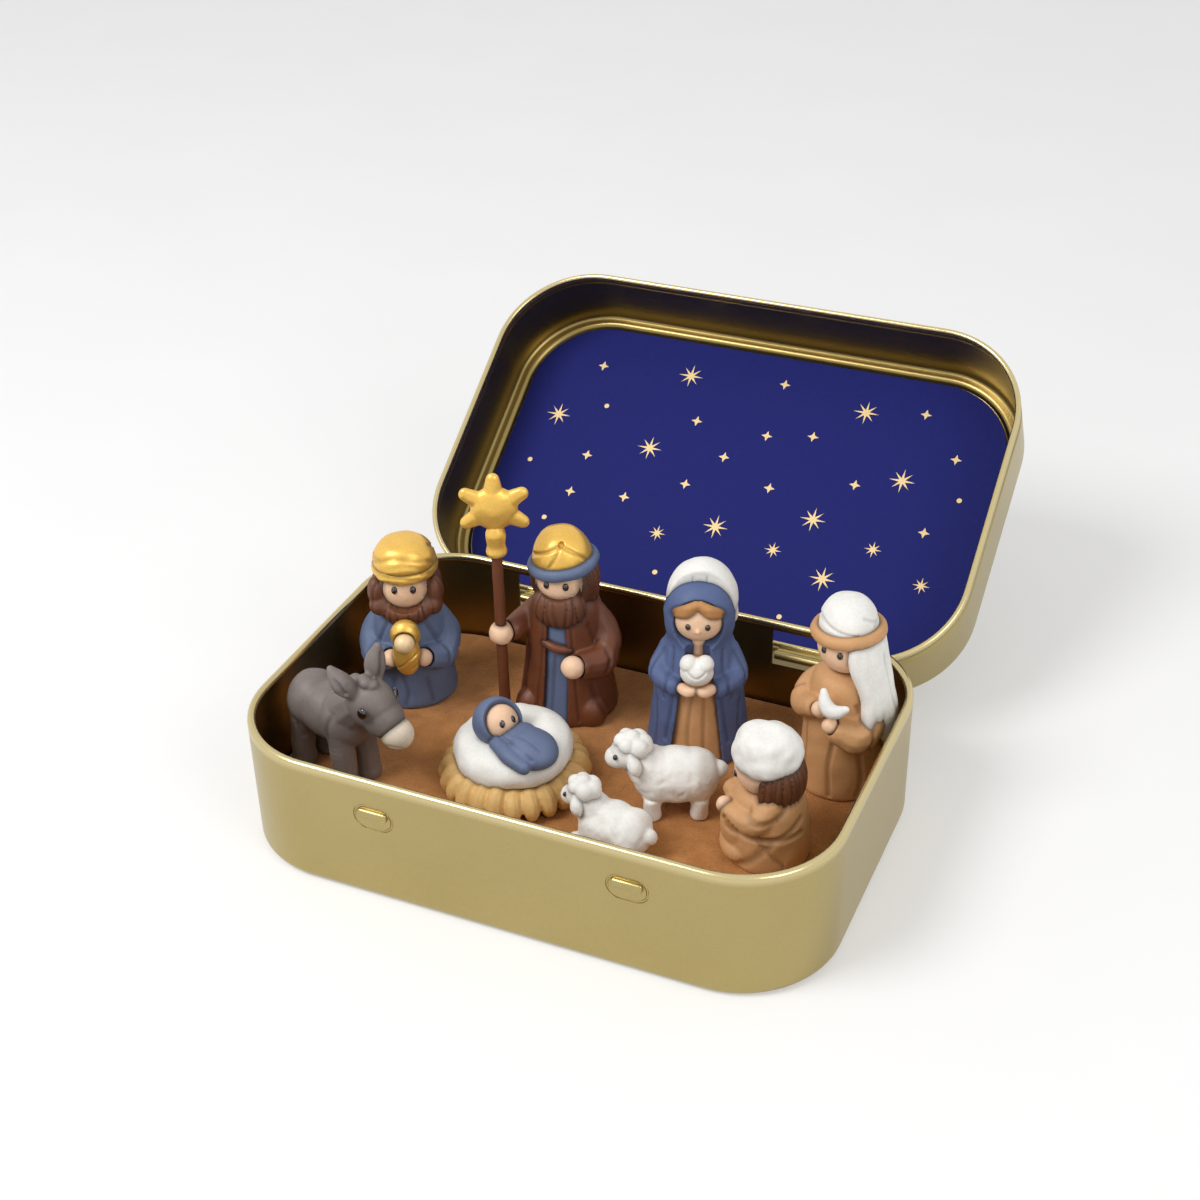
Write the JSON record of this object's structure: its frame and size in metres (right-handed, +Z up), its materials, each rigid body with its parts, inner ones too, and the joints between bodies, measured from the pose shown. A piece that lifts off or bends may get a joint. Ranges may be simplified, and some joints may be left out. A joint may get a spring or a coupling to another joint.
{
  "type": "pocket nativity tin",
  "caption": "Hinged pressed-tin box, lid open on a star-printed card, holding loose clay nativity figures, animals and a baby in a straw manger on a suede floor.",
  "frame": {"origin": "middle of the underside of the base tray", "axes": "+Z up, +Y towards the hinge, +X along the hinge to the right seen from the front"},
  "size_m": [0.0968, 0.125, 0.0519],
  "materials": {
    "gold_tin": "satin gold lacquer on pressed tinplate",
    "blue_card": "printed card, blue with cream stars",
    "brown_suede": "suede-covered board",
    "blue_clay": "matt baked clay, blue-grey",
    "brown_clay": "matt baked clay, brown",
    "skin_clay": "matt baked clay, peach",
    "gold_clay": "baked clay with a gold pearl finish",
    "tan_clay": "matt baked clay, tan",
    "white_clay": "matt baked clay, white",
    "straw_clay": "matt baked clay, straw",
    "grey_clay": "matt baked clay, warm grey",
    "cream_clay": "matt baked clay, cream"
  },
  "bodies": {
    "base": {"base_tray": "gold_tin", "floor_liner": "brown_suede"},
    "lid": {"lid_shell": "gold_tin", "sky_card": "blue_card"},
    "gift_bearer": {"gift_bearer_head": "skin_clay", "gift_bearer_turban_brim": "gold_clay", "gift_bearer_turban_crown": "gold_clay", "gift_bearer_beard": "brown_clay", "gift_bearer_right_hand": "skin_clay", "gift_bearer_left_hand": "skin_clay", "gift_ball": "skin_clay", "gift_wrap": "gold_clay", "gift_bearer_robe": "blue_clay"},
    "star_bearer": {"star_bearer_head": "skin_clay", "star_bearer_cap_band": "blue_clay", "star_bearer_cap_crown": "gold_clay", "star_bearer_beard": "brown_clay", "star_staff": "brown_clay", "star_top": "gold_clay", "star_bearer_staff_hand": "skin_clay", "star_bearer_free_hand": "skin_clay", "star_bearer_tunic": "blue_clay", "star_bearer_belt": "brown_clay", "star_bearer_coat": "brown_clay"},
    "mother": {"mother_head": "skin_clay", "mother_hair": "straw_clay", "mother_right_hand": "skin_clay", "mother_left_hand": "skin_clay", "mother_bundle": "white_clay", "mother_dress": "tan_clay", "mother_mantle": "blue_clay", "mother_veil": "white_clay"},
    "manger": {"manger_nest": "straw_clay", "manger_mattress": "white_clay", "baby_head": "skin_clay", "baby_hood": "blue_clay", "baby_swaddle": "blue_clay"},
    "donkey": {"donkey_body": "grey_clay", "donkey_muzzle": "cream_clay"},
    "standing_sheep": {"standing_sheep_body": "white_clay", "standing_sheep_head": "white_clay", "standing_sheep_wool_cap": "white_clay"},
    "lying_sheep": {"lying_sheep_body": "white_clay", "lying_sheep_head": "white_clay", "lying_sheep_wool_cap": "white_clay"},
    "standing_shepherd": {"standing_shepherd_head": "skin_clay", "standing_shepherd_ring": "tan_clay", "standing_shepherd_scarf": "white_clay", "standing_shepherd_right_hand": "skin_clay", "standing_shepherd_left_hand": "skin_clay", "standing_shepherd_crescent": "white_clay", "standing_shepherd_robe": "tan_clay", "standing_shepherd_scarf_tail": "white_clay"},
    "seated_shepherd": {"seated_shepherd_head": "skin_clay", "seated_shepherd_cap": "white_clay", "seated_shepherd_hair": "brown_clay", "seated_shepherd_hand": "skin_clay", "seated_shepherd_robe": "tan_clay"}
  },
  "joints": [
    {"name": "lid_hinge", "type": "hinge", "parent": "base", "child": "lid", "pos_m": [0, 0.0321, 0.0163], "axis": [1, 0, 0], "range_deg": [0, 55]},
    {"name": "gift_bearer_lift", "type": "slide", "parent": "base", "child": "gift_bearer", "axis": [0, 0, 1], "range_m": [0, 0.06]},
    {"name": "star_bearer_lift", "type": "slide", "parent": "base", "child": "star_bearer", "axis": [0, 0, 1], "range_m": [0, 0.06]},
    {"name": "mother_lift", "type": "slide", "parent": "base", "child": "mother", "axis": [0, 0, 1], "range_m": [0, 0.06]},
    {"name": "manger_lift", "type": "slide", "parent": "base", "child": "manger", "axis": [0, 0, 1], "range_m": [0, 0.06]},
    {"name": "donkey_lift", "type": "slide", "parent": "base", "child": "donkey", "axis": [0, 0, 1], "range_m": [0, 0.06]},
    {"name": "standing_sheep_lift", "type": "slide", "parent": "base", "child": "standing_sheep", "axis": [0, 0, 1], "range_m": [0, 0.06]},
    {"name": "lying_sheep_lift", "type": "slide", "parent": "base", "child": "lying_sheep", "axis": [0, 0, 1], "range_m": [0, 0.06]},
    {"name": "standing_shepherd_lift", "type": "slide", "parent": "base", "child": "standing_shepherd", "axis": [0, 0, 1], "range_m": [0, 0.06]},
    {"name": "seated_shepherd_lift", "type": "slide", "parent": "base", "child": "seated_shepherd", "axis": [0, 0, 1], "range_m": [0, 0.06]}
  ]
}
